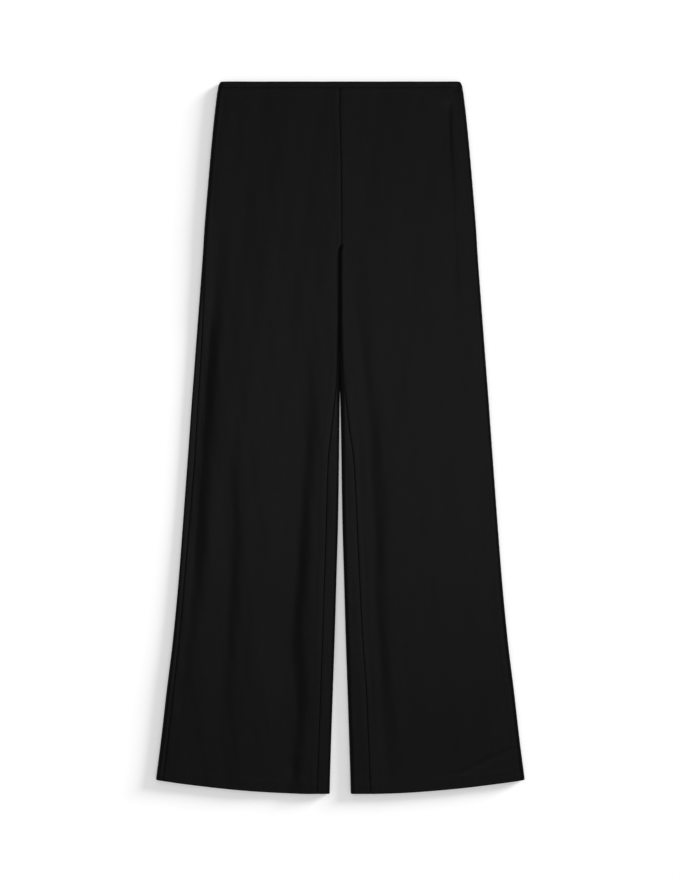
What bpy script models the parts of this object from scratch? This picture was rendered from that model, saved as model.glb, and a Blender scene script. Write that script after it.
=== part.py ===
"""Wide-leg trousers in black crepe, laid flat on their back with the front side up.

Metres, +Z up. +X is the wearer's left, +Y points to the waist. The origin is on the surface,
below the middle of the garment. Every piece is a wall of cloth cut from one form: at each level
below the waist a half section runs from the centre over the top, round the side fold and back
along the surface, and below the crotch round the inner fold as well. The seams cut that
section into a front and a back panel.
"""

from collections import namedtuple

import bmesh
import bpy
import numpy as np

MM = 0.001

# The garment
LENGTH = 1045 * MM  # waist edge to the lowest point of the hem
RISE = 239 * MM  # waist edge to the crotch
BAND = 9 * MM  # depth of the folded waistband
HEM_TURN = 20 * MM  # depth of the turned-up hem
CLOTH = 1.1 * MM  # wall of a single layer
DOUBLE = 1.9 * MM  # wall of the folded band and of the turned-up hem
EDGE_BEVEL = 0.4 * MM  # rounding of the folded edges at waist and hem
SEAM_GAP = 0.3 * MM  # between the pieces at every seam

# How it lies
LOFT = 7.8 * MM  # height of the top layer between its folds
MOUTH_LOFT = 0.9 * MM  # extra height at the waist and at the hems
MOUTH_REACH = 60 * MM  # how far that extra height carries
EDGE_LOFT = 0.5 * MM  # extra height along the springy side folds
EDGE_REACH = 26 * MM
SIDE_FOLD_HEIGHT = 3.2 * MM  # height of the side fold's outermost line
SIDE_FOLD_ROUND = 1.1  # the side fold's upper rounding reaches in this many times its height
SIDE_FOLD_FOOT = 5 * MM  # how far in it reaches on the surface
INNER_FOLD_HEIGHT = 2.8 * MM
INNER_FOLD_FOOT = 4 * MM
FORK_RUN = 8 * MM  # length over which the crotch seam turns from the surface to the top

# The hem is lowest near the inner edges and rises to the side seams.
HEM_RISE = 20.5 * MM
HEM_BOW = 1.7  # power of the hem's curve
HEM_LEVEL_TO = 44 * MM
HEM_LIFT_FROM = 900 * MM

# Levels of the half section, in millimetres.
#   below: distance below the waist edge     side: centre to the side fold
#   inner: centre to the inner fold          inner_top: how far in the inner fold's rounding reaches
#   inseam_r, inseam_l: inner fold to the inseam, seen from above, on the wearer's right and left
#   side_r, side_l: side fold to the side seam, seen from above, on the wearer's right and left
Level = namedtuple("Level", "below side inner inner_top inseam_r inseam_l side_r side_l")
LEVELS = (
    Level(0, 176.0, 0.0, 3.0, 0.0, 0.0, 0.3, 0.3),
    Level(4, 178.2, 0.0, 3.0, 0.0, 0.0, 0.3, 0.3),
    Level(10, 179.8, 0.0, 3.0, 0.0, 0.0, 0.3, 0.3),
    Level(20, 181.4, 0.0, 3.0, 0.0, 0.0, 0.3, 0.3),
    Level(70, 187.1, 0.0, 3.0, 0.0, 0.0, 0.3, 0.3),
    Level(145, 193.9, 0.0, 3.0, 0.0, 0.0, 0.3, 0.3),
    Level(231, 200.6, 0.15, 3.0, 0.0, 0.0, 1.2, 0.3),
    Level(239, 201.0, 0.15, 3.0, 0.0, 0.0, 1.5, 0.3),
    Level(320, 206.8, 0.15, 3.3, 0.0, 0.0, 6.2, 0.3),
    Level(386, 211.8, 0.15, 4.0, 0.0, 0.0, 8.2, 0.3),
    Level(440, 215.9, 0.15, 5.2, 5.0, 5.0, 9.2, 0.3),
    Level(467, 218.0, 0.4, 5.5, 7.6, 7.6, 9.5, 0.3),
    Level(511, 221.1, 1.15, 5.5, 12.1, 12.1, 9.9, 0.3),
    Level(555, 224.3, 1.7, 5.5, 16.2, 17.6, 10.3, 0.3),
    Level(643, 230.8, 3.0, 5.5, 17.7, 21.3, 9.8, 0.3),
    Level(731, 237.5, 5.5, 5.5, 17.9, 22.8, 8.8, 1.5),
    Level(820, 246.0, 8.1, 5.5, 18.1, 25.0, 9.5, 3.7),
    Level(908, 256.7, 11.1, 5.5, 18.2, 27.9, 10.3, 3.7),
    Level(1000, 265.7, 14.1, 5.5, 18.3, 28.6, 10.5, 4.2),
    Level(1045, 270.7, 15.4, 5.5, 18.4, 28.9, 10.5, 4.4),
)

# The largest folds of the top layer, in millimetres. Each is a trough along a line.
#   leg: -1 on the wearer's right, +1 on the left     depth: at its deepest
#   to_centre, to_side: how far each flank spreads     line: rows of Along, from waist to hem
Fold = namedtuple("Fold", "leg depth to_centre to_side line")
#   from_centre: centre to the trough's line     share: part of the full depth there
Along = namedtuple("Along", "below from_centre share")
FOLDS = (
    Fold(-1, 3.6, 12.0, 36.0, (  # beside the side seam
        Along(200, 184.0, 0.0), Along(320, 189.0, 0.5), Along(386, 195.5, 0.9), Along(461, 202.0, 1.0),
        Along(602, 212.0, 0.9), Along(743, 220.0, 0.5), Along(870, 234.0, 0.0))),
    Fold(-1, 3.4, 12.0, 32.0, (  # inner half of the leg, down to the hem
        Along(330, 44.0, 0.0), Along(461, 50.0, 0.5), Along(602, 60.0, 0.8), Along(708, 64.0, 0.9),
        Along(814, 73.0, 1.0), Along(919, 66.0, 0.85), Along(1045, 78.0, 0.5))),
    Fold(-1, 1.6, 10.0, 20.0, (  # middle of the leg
        Along(500, 162.0, 0.0), Along(637, 160.0, 1.0), Along(778, 167.0, 1.0), Along(900, 170.0, 0.6),
        Along(960, 173.0, 0.0))),
    Fold(1, 2.5, 10.0, 12.0, (  # inner half of the other leg
        Along(250, 26.0, 0.0), Along(320, 26.0, 0.3), Along(461, 35.0, 0.6), Along(602, 45.0, 0.9),
        Along(814, 53.0, 1.0), Along(930, 61.0, 0.7), Along(1035, 66.0, 0.0))),
)

# How finely the sections are read, in millimetres along the cloth from a seam or a fold.
FRONT_FROM_INNER = (0.0, 1.5, 3.5, 6.0, 9.0)
FRONT_FROM_SIDE = (34.0, 21.0, 13.0, 7.0, 3.5, 1.5, 0.0)
FRONT_MIDDLE = 15  # strips between those two zones
SIDE_TOP_STRIPS = 4  # from the side seam to the side fold's outermost line
SIDE_FOOT = (2.2, 4.6, 7.5)
FLOOR_STRIPS = 6
INNER_ZONE_FOOT = 6.0
INNER_STRIPS = 7
INNER_CROWDING = 1.4  # the inner strips are narrower towards the fold's foot
SEAM_STEP = 0.5 * MM  # length of the step where a doubled wall begins
DIRECTION_STEP = 0.2 * MM  # a wall's direction is read this far each way along the section

# Sections of the panels: each run ends at this level and has this many steps.
Run = namedtuple("Run", "to steps")
PANEL_RUNS = (
    Run(215, 5), Run(231, 1), Run(247, 4), Run(285, 2), Run(386, 3), Run(467, 4), Run(1024.5, 11),
    Run(1025, 1), Run(1044.4, 1), Run(1045, 1),
)
BAND_LEVELS = (0.0, 0.6, 4.0, 9.0)

CLOTH_COLOUR = (0.0105, 0.0103, 0.0098, 1.0)
BAND_COLOUR = (0.0095, 0.0093, 0.0089, 1.0)


def smooth(at, places, values):
    """Value at a place on the smooth curve through a table's points.

    Each stretch is a cubic. The slope at a point is the harmonic mean of the slopes on either
    side, or level where those differ in sign, so the curve never passes a point's value.
    """
    places = np.asarray(places, float)
    values = np.asarray(values, float)
    rise = np.diff(values) / np.diff(places)
    before, after = np.append(rise[0], rise), np.append(rise, rise[-1])
    agree = before * after > 0
    slopes = np.where(agree, 2 * before * after / np.where(agree, before + after, 1), 0)
    i = np.clip(np.searchsorted(places, at, side="right") - 1, 0, len(places) - 2)
    span = places[i + 1] - places[i]
    f = np.clip((at - places[i]) / span, 0, 1)
    ends = (1 + 2 * f) * (1 - f) ** 2 * values[i] + f**2 * (3 - 2 * f) * values[i + 1]
    turns = f * (1 - f) ** 2 * slopes[i] - f**2 * (1 - f) * slopes[i + 1]
    return ends + span * turns


def ease(x):
    """0 below 0, 1 above 1, and a smooth step between."""
    x = np.clip(x, 0, 1)
    return x * x * (3 - 2 * x)


def level(name, below):
    """A column of LEVELS at a distance below the waist, in metres."""
    places = [row.below * MM for row in LEVELS]
    values = [getattr(row, name) * MM for row in LEVELS]
    return float(smooth(below, places, values))


def rounding(inside, reach):
    """Quarter ellipse: 0 on the fold's outermost line, 1 from reach inwards."""
    x = np.clip(inside / reach, 0, 1)
    return np.sqrt(1 - (1 - x) ** 2)


def loft(leg, below, across):
    """Height of the top layer, before it turns down at its folds."""
    mouths = np.exp(-below / MOUTH_REACH) + np.exp(-(LENGTH - below) / MOUTH_REACH)
    height = LOFT + MOUTH_LOFT * mouths
    height = height + EDGE_LOFT * np.exp(-(((level("side", below) - across) / EDGE_REACH) ** 2))
    for fold in FOLDS:
        if fold.leg != leg:
            continue
        places = [row.below * MM for row in fold.line]
        if not places[0] < below <= places[-1]:
            continue
        trough = smooth(below, places, [row.from_centre * MM for row in fold.line])
        share = smooth(below, places, [row.share for row in fold.line])
        flank = np.where(across < trough, fold.to_centre, fold.to_side) * MM
        q = (across - trough) / flank
        height = height - fold.depth * MM * share * np.exp(-q * q / 2) * (1 - q * q / 4)
    return height


def section(leg, below):
    """Half section of the outer surface at one level: points across and up, and their run.

    It goes from the centre over the top to the side fold, and back along the surface. At each
    fold the top layer turns down, and the layer below turns up, by a quarter ellipse.
    Returns the points (n, 2), the distance run along them, and the run at the side fold.
    """
    side = level("side", below)
    inner = level("inner", below)
    inner_top = level("inner_top", below)
    turn = np.sin(np.linspace(0, np.pi / 2, 24))
    side_top = SIDE_FOLD_ROUND * float(loft(leg, below, side) - SIDE_FOLD_HEIGHT)
    out_turn = side - side_top * (1 - turn)
    in_turn = inner + inner_top * (1 - turn[::-1])
    plain = np.linspace(in_turn[-1], out_turn[0], 160)
    across = np.concatenate([in_turn, plain[1:-1], out_turn])
    closed_top = ease((below - RISE) / FORK_RUN)
    closed_foot = ease((below - RISE + FORK_RUN) / FORK_RUN)
    height = loft(leg, below, across)
    inner_drop = closed_top * (height - INNER_FOLD_HEIGHT) * (1 - rounding(across - inner, inner_top))
    side_drop = (height - SIDE_FOLD_HEIGHT) * (1 - rounding(side - across, side_top))
    top = np.stack([across, height - inner_drop - side_drop], axis=1)

    foot_out = side - SIDE_FOLD_FOOT * (1 - turn[::-1])
    foot_in = inner + INNER_FOLD_FOOT * (1 - turn)
    back = np.concatenate([foot_out, np.linspace(foot_out[-1], foot_in[0], 60)[1:-1], foot_in])
    rise = SIDE_FOLD_HEIGHT * (1 - rounding(side - back, SIDE_FOLD_FOOT))
    rise = rise + closed_foot * INNER_FOLD_HEIGHT * (1 - rounding(back - inner, INNER_FOLD_FOOT))
    foot = np.stack([back, rise], axis=1)

    points = np.concatenate([top, foot[1:]])
    run = np.concatenate([[0.0], np.cumsum(np.linalg.norm(np.diff(points, axis=0), axis=1))])
    return points, run, run[len(top) - 1]


def seams(leg, below):
    """Run along the half section at its inseam, its side seam and its side fold, and its end."""
    points, run, fold_run = section(leg, below)
    top = run <= fold_run
    inseam_name, side_name = ("inseam_r", "side_r") if leg < 0 else ("inseam_l", "side_l")
    inseam_across = level("inner", below) + level(inseam_name, below)
    side_across = level("side", below) - level(side_name, below)
    inseam = np.interp(inseam_across, points[top, 0], run[top])
    side = np.interp(side_across, points[top, 0], run[top])
    return inseam, side, fold_run, run[-1]


def walk(leg, below, places):
    """Points and inward directions at places along the half section, past its end onto the top.

    The directions at the two ends are those of the seams' middles, so that the faces on either
    side of a seam are parallel.
    """
    points, run, _ = section(leg, below)
    if places[-1] > run[-1]:
        points = np.concatenate([points, points[1:]])
        run = np.concatenate([run, run[-1] + run[1:]])
    aims = places.copy()
    aims[0] -= SEAM_GAP / 2
    aims[-1] += SEAM_GAP / 2
    here, ahead, before = (
        np.stack([np.interp(at, run, points[:, i]) for i in (0, 1)], axis=1)
        for at in (places, aims + DIRECTION_STEP, aims - DIRECTION_STEP)
    )
    along = ahead - before
    along /= np.linalg.norm(along, axis=1, keepdims=True)
    return here, np.stack([along[:, 1], -along[:, 0]], axis=1)


def placed(leg, below, flat):
    """Points of a half section in metres, with the hem's curve: (across, height) to (x, y, z)."""
    bow = np.clip((flat[:, 0] - HEM_LEVEL_TO) / (level("side", LENGTH) - HEM_LEVEL_TO), 0, 1) ** HEM_BOW
    lift = HEM_RISE * bow * ease((below - HEM_LIFT_FROM) / (LENGTH - HEM_LIFT_FROM))
    y = LENGTH / 2 - below + lift
    return np.stack([leg * flat[:, 0], y, flat[:, 1]], axis=1)


def front_places(leg, below):
    """Where the front's columns lie along the half section."""
    inseam, side, _, _ = seams(leg, below)
    first = inseam + SEAM_GAP / 2
    last = side - SEAM_GAP / 2
    from_inner = first + np.array(FRONT_FROM_INNER) * MM
    from_side = last - np.array(FRONT_FROM_SIDE) * MM
    middle = np.linspace(from_inner[-1], from_side[0], FRONT_MIDDLE + 1)
    return np.concatenate([from_inner, middle[1:-1], from_side])


def back_places(leg, below):
    """Where the back's columns lie along the half section, from the side seam to the inseam."""
    inseam, side, fold, end = seams(leg, below)
    over = np.linspace(side + SEAM_GAP / 2, fold, SIDE_TOP_STRIPS + 1)
    under = fold + np.array(SIDE_FOOT) * MM
    zone = end - INNER_ZONE_FOOT * MM
    floor = np.linspace(under[-1], zone, FLOOR_STRIPS + 1)
    last = end + inseam - SEAM_GAP / 2
    crowded = np.linspace(0, 1, INNER_STRIPS + 1) ** INNER_CROWDING
    return np.concatenate([over, under, floor[1:-1], zone + (last - zone) * crowded])


def wall_at(below):
    """Wall of the cloth at a level, and how far its two faces draw together at a folded edge."""
    folded_back = below >= LENGTH - HEM_TURN - SEAM_STEP / 2 or below <= BAND + SEAM_STEP / 2
    at_edge = below < SEAM_STEP / 2 or below > LENGTH - SEAM_STEP / 2
    return (DOUBLE if folded_back else CLOTH), (EDGE_BEVEL if at_edge else 0.0)


def faces_of(leg, below, places):
    """Outer and inner points of the cloth across one level, in metres."""
    here, inward = walk(leg, below, places)
    deep, bevel = wall_at(below)
    return placed(leg, below, here + inward * bevel), placed(leg, below, here + inward * (deep - bevel))


def panel_levels():
    """Distances below the waist of a panel's sections, from under the waistband to the hem."""
    levels = [BAND + SEAM_GAP]
    for run in PANEL_RUNS:
        levels.extend(np.linspace(levels[-1], run.to * MM, run.steps + 1)[1:])
    return levels


def wall(name, outer, inner, colour):
    """Closed wall between a grid of outer points and its grid of inner points.

    A strip of faces along the grids' rim closes the four edges.
    """
    index = np.arange(outer.shape[0] * outer.shape[1]).reshape(outer.shape[:2])
    quads = []
    rims = []
    for grid in (index, index + index.size):
        corners = (grid[:-1, :-1], grid[:-1, 1:], grid[1:, 1:], grid[1:, :-1])
        quads.append(np.stack(corners, axis=-1).reshape(-1, 4))
        rims.append(np.concatenate([grid[0], grid[1:, -1], grid[-1, -2::-1], grid[-2:0:-1, 0]]))
    near, far = rims
    quads.append(np.stack([near, np.roll(near, -1), np.roll(far, -1), far], axis=-1))
    points = np.concatenate([outer.reshape(-1, 3), inner.reshape(-1, 3)])
    mesh = bpy.data.meshes.new(name)
    mesh.from_pydata(points.tolist(), [], np.concatenate(quads).tolist())
    shell = bmesh.new()
    shell.from_mesh(mesh)
    bmesh.ops.recalc_face_normals(shell, faces=shell.faces)
    shell.to_mesh(mesh)
    shell.free()
    mesh.materials.append(fabric(name, colour))
    mesh.shade_smooth()
    piece = bpy.data.objects.new(name, mesh)
    bpy.context.scene.collection.objects.link(piece)
    return piece


def fabric(name, colour):
    """Matt black crepe."""
    material = bpy.data.materials.new(name + "_cloth")
    material.use_nodes = True
    shader = material.node_tree.nodes["Principled BSDF"]
    shader.inputs["Base Color"].default_value = colour
    shader.inputs["Roughness"].default_value = 0.9
    shader.inputs["Metallic"].default_value = 0.0
    return material


def panel(name, leg, places):
    """Front or back panel of one leg, from the waistband to the hem."""
    sections = [faces_of(leg, below, places(leg, below)) for below in panel_levels()]
    outer, inner = (np.stack(side) for side in zip(*sections))
    return wall(name, outer, inner, CLOTH_COLOUR)


def waistband(name, places, centre_first):
    """Folded strip along the waist edge, from side seam to side seam, unbroken at the centre."""
    grids = []
    for below in np.array(BAND_LEVELS) * MM:
        halves = []
        for leg in (-1, 1):
            columns = places(leg, below)
            if centre_first:
                columns[0] -= SEAM_GAP / 2
            else:
                columns[-1] += SEAM_GAP / 2
            faces = np.stack(faces_of(leg, below, columns))
            from_centre = (leg > 0) == centre_first
            halves.append(faces if from_centre else faces[:, ::-1])
        grids.append(np.concatenate([halves[0], halves[1][:, 1:]], axis=1))
    outer, inner = np.stack(grids, axis=1)
    return wall(name, outer, inner, BAND_COLOUR)


def clear_scene():
    """Remove everything from the scene."""
    for thing in list(bpy.data.objects):
        bpy.data.objects.remove(thing, do_unlink=True)


def build():
    """All six pieces."""
    clear_scene()
    for side_name, leg in (("right", -1), ("left", 1)):
        panel("front_" + side_name, leg, front_places)
        panel("back_" + side_name, leg, back_places)
    waistband("waistband_front", front_places, centre_first=True)
    waistband("waistband_back", back_places, centre_first=False)


build()
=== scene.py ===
"""Looks of a pair of wide-leg trousers in black crepe, laid flat on their back.

Metres, +Z up. +X is the wearer's left and +Y points to the waist. Every panel is a thin shell on
the form of its solid: a half section of the leg, at each level below the waist, runs from the
centre over the top, round the side fold and back along the surface, and the seams cut it into a
front and a back. The shells turn in at their seams and carry the creases, the pressed seam
allowances and the turned hems. The waistband's seam and the hems have their stitches.
"""

from collections import namedtuple
from functools import partial

import bpy
import numpy as np
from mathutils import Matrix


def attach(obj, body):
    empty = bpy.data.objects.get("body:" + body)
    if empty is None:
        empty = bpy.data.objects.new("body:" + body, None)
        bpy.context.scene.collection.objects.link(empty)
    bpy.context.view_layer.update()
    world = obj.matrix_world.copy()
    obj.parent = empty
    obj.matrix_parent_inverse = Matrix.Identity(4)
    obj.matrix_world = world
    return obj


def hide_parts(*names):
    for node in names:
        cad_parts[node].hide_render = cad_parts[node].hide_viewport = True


MM = 0.001

# The garment, as in its solids
LENGTH = 1045 * MM  # waist edge to the lowest point of the hem
RISE = 239 * MM  # waist edge to the crotch
BAND = 9 * MM  # depth of the folded waistband
HEM_TURN = 20 * MM  # depth of the turned-up hem
HEM_RISE = 20.5 * MM  # the hem is lowest near the inner edges and rises to the side seams
HEM_BOW = 1.7  # power of its curve
HEM_LEVEL_TO = 44 * MM  # it is level from the centre out to here
HEM_LIFT_FROM = 900 * MM  # the cloth rises with it from this far below the waist

# How it lies, as in its solids
LOFT = 7.8 * MM  # height of the top layer between its folds
MOUTH_LOFT = 0.9 * MM  # extra height at the waist and at the hems
MOUTH_REACH = 60 * MM
EDGE_LOFT = 0.5 * MM  # extra height along the springy side folds
EDGE_REACH = 26 * MM
SIDE_FOLD_HEIGHT = 3.2 * MM
SIDE_FOLD_ROUND = 1.1  # the side fold's upper rounding reaches in this many times its height
SIDE_FOLD_FOOT = 5 * MM  # how far in it reaches on the surface
INNER_FOLD_HEIGHT = 2.8 * MM
INNER_FOLD_FOOT = 4 * MM
FORK_RUN = 8 * MM  # length over which the crotch seam turns from the surface to the top

# The cloth
CLOTH = 0.8 * MM  # wall of a single layer
DOUBLE = 1.6 * MM  # wall of the folded band and of the turned-up hem
SEAM_ROLL = 0.9 * MM  # radius by which a panel turns in at a seam
BAND_ROLL = 0.42 * MM  # the same at the waistband's seam
SEAM_LIP = 0.7 * MM  # how far it goes on straight down into the seam
SEAM_GAP = 0.06 * MM  # between two panels at a seam
SEAM_VALLEY = 0.24 * MM  # how deep the pull of the stitches draws the cloth in beside a seam
SEAM_VALLEY_REACH = 2.4 * MM
PUCKER = 0.09 * MM  # height of the puckers along a seam
PUCKER_REACH = 7 * MM
PUCKER_STEP = 12 * MM
EDGE_ROLL = DOUBLE / 2  # rounding of the folded edges at waist and hem

# Levels of the half section, in millimetres.
#   below: distance below the waist edge     side: centre to the side fold
#   inner: centre to the inner fold          inner_top: how far in the inner fold's rounding reaches
#   inseam_r, inseam_l: inner fold to the inseam, seen from above, on the wearer's right and left
#   side_r, side_l: side fold to the side seam, seen from above, on the wearer's right and left
Level = namedtuple("Level", "below side inner inner_top inseam_r inseam_l side_r side_l")
LEVELS = (
    Level(0, 176.0, 0.0, 3.0, 0.0, 0.0, 0.3, 0.3),
    Level(4, 178.2, 0.0, 3.0, 0.0, 0.0, 0.3, 0.3),
    Level(10, 179.8, 0.0, 3.0, 0.0, 0.0, 0.3, 0.3),
    Level(20, 181.4, 0.0, 3.0, 0.0, 0.0, 0.3, 0.3),
    Level(70, 187.1, 0.0, 3.0, 0.0, 0.0, 0.3, 0.3),
    Level(145, 193.9, 0.0, 3.0, 0.0, 0.0, 0.3, 0.3),
    Level(231, 200.6, 0.0, 3.0, 0.0, 0.0, 1.2, 0.3),
    Level(239, 201.0, -0.01, 3.0, 0.0, 0.0, 1.5, 0.3),
    Level(320, 206.8, -0.03, 3.3, 0.0, 0.0, 6.2, 0.3),
    Level(386, 211.8, -0.05, 4.0, 0.0, 0.0, 8.2, 0.3),
    Level(440, 215.9, -0.04, 5.2, 5.0, 5.0, 9.2, 0.3),
    Level(467, 218.0, 0.4, 5.5, 7.6, 7.6, 9.5, 0.3),
    Level(511, 221.1, 1.15, 5.5, 12.1, 12.1, 9.9, 0.3),
    Level(555, 224.3, 1.7, 5.5, 16.2, 17.6, 10.3, 0.3),
    Level(643, 230.8, 3.0, 5.5, 17.7, 21.3, 9.8, 0.3),
    Level(731, 237.5, 5.5, 5.5, 17.9, 22.8, 8.8, 1.5),
    Level(820, 246.0, 8.1, 5.5, 18.1, 25.0, 9.5, 3.7),
    Level(908, 256.7, 11.1, 5.5, 18.2, 27.9, 10.3, 3.7),
    Level(1000, 265.7, 14.1, 5.5, 18.3, 28.6, 10.5, 4.2),
    Level(1045, 270.7, 15.4, 5.5, 18.4, 28.9, 10.5, 4.4),
)

# The inner fold's upper rounding, from a quarter ellipse (power 2) to nearly a straight slope (1)
Round = namedtuple("Round", "below power")
INNER_ROUNDS = (
    Round(0, 2.0), Round(239, 1.7), Round(320, 1.5), Round(386, 1.3), Round(450, 1.4), Round(520, 2.0),
    Round(1045, 2.0),
)

# Folds and creases, in millimetres. Each is a trough along a line; a ridge has a negative depth.
#   layer: "top" or "floor"                  leg: -1 on the wearer's right, +1 on the left
#   depth: at its deepest                    to_centre, to_side: how far each flank spreads
#   line: rows of Along, from waist to hem
Fold = namedtuple("Fold", "layer leg depth to_centre to_side line")
#   from_centre: centre to the trough's line     share: part of the full depth there
Along = namedtuple("Along", "below from_centre share")
FOLDS = (
    Fold("top", -1, 3.6, 12.0, 36.0, (  # beside the side seam
        Along(200, 184.0, 0.0), Along(320, 189.0, 0.5), Along(386, 195.5, 0.9), Along(461, 202.0, 1.0),
        Along(602, 212.0, 0.9), Along(743, 220.0, 0.5), Along(870, 234.0, 0.0))),
    Fold("top", -1, 3.4, 12.0, 32.0, (  # inner half of the leg, down to the hem
        Along(330, 44.0, 0.0), Along(461, 50.0, 0.5), Along(602, 60.0, 0.8), Along(708, 64.0, 0.9),
        Along(814, 73.0, 1.0), Along(919, 66.0, 0.85), Along(1045, 78.0, 0.5))),
    Fold("top", -1, 1.6, 10.0, 20.0, (  # middle of the leg
        Along(500, 162.0, 0.0), Along(637, 160.0, 1.0), Along(778, 167.0, 1.0), Along(900, 170.0, 0.6),
        Along(960, 173.0, 0.0))),
    Fold("top", 1, 2.5, 10.0, 12.0, (  # inner half of the other leg
        Along(250, 26.0, 0.0), Along(320, 26.0, 0.3), Along(461, 35.0, 0.6), Along(602, 45.0, 0.9),
        Along(814, 53.0, 1.0), Along(930, 61.0, 0.7), Along(1035, 66.0, 0.0))),
)

# Finer creases, which the solids leave out.
CREASES = (
    Fold("top", 1, 1.25, 8.0, 3.8, (  # along the hip, beside the side seam
        Along(26, 158.6, 0.0), Along(40, 158.8, 0.9), Along(70, 158.8, 1.0), Along(100, 160.2, 0.95),
        Along(130, 162.3, 0.7), Along(188, 164.8, 0.6), Along(232, 167.6, 0.5), Along(291, 169.3, 0.35),
        Along(360, 173.0, 0.0))),
    Fold("top", 1, 0.9, 3.2, 1.7, (  # drawn-in top of the side seam
        Along(5, 170.5, 0.0), Along(12, 171.0, 1.0), Along(24, 174.4, 1.0), Along(32, 175.8, 0.6),
        Along(44, 178.0, 0.0))),
    Fold("top", -1, 0.9, 4.0, 5.0, (  # where the inner folds touch
        Along(243, 0.8, 0.0), Along(260, 0.8, 0.9), Along(330, 0.8, 1.0), Along(420, 1.2, 1.0),
        Along(500, 3.0, 0.4), Along(580, 6.0, 0.0))),
    Fold("top", -1, 0.4, 1.4, 1.4, (  # short crease that runs into the crotch
        Along(212, 8.8, 0.0), Along(222, 8.5, 0.8), Along(236, 7.8, 1.0), Along(248, 5.0, 0.0))),
    Fold("top", 1, 0.3, 9.0, 11.0, (  # slanting, above the hem
        Along(984, 262.0, 0.0), Along(991, 250.0, 0.5), Along(1008, 212.0, 1.0), Along(1017, 189.0, 0.8),
        Along(1026, 170.0, 0.0))),
    Fold("top", -1, 0.6, 8.0, 6.0, (
        Along(985, 66.0, 0.0), Along(1006, 70.0, 1.0), Along(1028, 72.0, 0.0))),
    Fold("floor", -1, 1.1, 12.0, 16.0, (  # underneath
        Along(290, 60.0, 0.0), Along(430, 70.0, 0.8), Along(640, 92.0, 1.0), Along(860, 104.0, 0.6),
        Along(1000, 112.0, 0.0))),
    Fold("floor", -1, 0.8, 9.0, 9.0, (
        Along(480, 168.0, 0.0), Along(600, 176.0, 1.0), Along(760, 190.0, 0.7), Along(900, 202.0, 0.0))),
    Fold("floor", 1, 1.2, 14.0, 11.0, (
        Along(250, 48.0, 0.0), Along(380, 58.0, 0.7), Along(560, 74.0, 1.0), Along(780, 88.0, 0.9),
        Along(1045, 101.0, 0.3))),
    Fold("floor", 1, 0.7, 8.0, 10.0, (
        Along(120, 120.0, 0.0), Along(210, 128.0, 1.0), Along(350, 141.0, 0.6), Along(470, 152.0, 0.0))),
)

# Slight unevenness of the top layer, in millimetres: slanting waves, each with its height, its
# lengths across and along the leg, and where in its wave it starts.
Wave = namedtuple("Wave", "height across along start")
WAVES = (
    Wave(0.20, 83, 520, 0.4), Wave(0.12, 47, -330, 2.3), Wave(0.07, 29, 210, 4.1),
    Wave(0.04, 17, -120, 1.1),
)


def smooth(at, places, values):
    """Value at each place on the smooth curve through a table's points.

    Each stretch is a cubic. The slope at a point is the harmonic mean of the slopes on either
    side, or level where those differ in sign, so the curve never passes a point's value.
    """
    places = np.asarray(places, float)
    values = np.asarray(values, float)
    rise = np.diff(values) / np.diff(places)
    before, after = np.append(rise[0], rise), np.append(rise, rise[-1])
    agree = before * after > 0
    slopes = np.where(agree, 2 * before * after / np.where(agree, before + after, 1), 0)
    i = np.clip(np.searchsorted(places, at, side="right") - 1, 0, len(places) - 2)
    span = places[i + 1] - places[i]
    f = np.clip((at - places[i]) / span, 0, 1)
    ends = (1 + 2 * f) * (1 - f) ** 2 * values[i] + f**2 * (3 - 2 * f) * values[i + 1]
    turns = f * (1 - f) ** 2 * slopes[i] - f**2 * (1 - f) * slopes[i + 1]
    return ends + span * turns


def ease(x):
    """0 below 0, 1 above 1, and a smooth step between."""
    x = np.clip(x, 0, 1)
    return x * x * (3 - 2 * x)


def level(name, below):
    """A column of LEVELS at distances below the waist, in metres."""
    places = [row.below * MM for row in LEVELS]
    return smooth(below, places, [getattr(row, name) * MM for row in LEVELS])


def rounding(inside, reach, power=2.0):
    """Quarter ellipse, or a straighter curve: 0 on a fold's outermost line, 1 from reach inwards.

    With x as the distance inwards in reaches, it is (1 - (1 - x)^power)^(1 / power).
    """
    x = np.clip(inside / reach, 0, 1)
    return (1 - (1 - x) ** power) ** (1 / power)


def trough(fold, below, across):
    """Depth of one fold: its depth times share times exp(-q²/2)(1 - q²/4), q in flank widths."""
    places = [row.below * MM for row in fold.line]
    middle = smooth(below, places, [row.from_centre * MM for row in fold.line])
    share = smooth(below, places, [row.share for row in fold.line])
    q = (across - middle) / (np.where(across < middle, fold.to_centre, fold.to_side) * MM)
    return fold.depth * MM * share * np.exp(-q * q / 2) * (1 - q * q / 4)


def troughs(leg, layer, below, across):
    """Depth of all the folds and creases in one layer of a leg."""
    here = [fold for fold in FOLDS + CREASES if (fold.leg, fold.layer) == (leg, layer)]
    return sum(trough(fold, below, across) for fold in here)


def unevenness(leg, below, across):
    """Sum of the waves: each is its height times the sine of its place in its lengths.

    They run on from one leg's half to the other's.
    """
    height = 0
    for wave in WAVES:
        turn = leg * across / (wave.across * MM) + below / (wave.along * MM)
        height = height + wave.height * MM * np.sin(2 * np.pi * turn + wave.start)
    return height


def loft(leg, below, across):
    """Height of the top layer, before it turns down at its folds."""
    mouths = np.exp(-below / MOUTH_REACH) + np.exp(-(LENGTH - below) / MOUTH_REACH)
    beside = (level("side", below) - across) / EDGE_REACH
    height = LOFT + MOUTH_LOFT * mouths + EDGE_LOFT * np.exp(-(beside**2))
    return height + unevenness(leg, below, across) - troughs(leg, "top", below, across)


# Steps in which a section is first worked out: a quarter ellipse, the top and the floor side
TURN_STEPS = 48
TOP_STEPS = 320
UNDER_STEPS = 160


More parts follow.
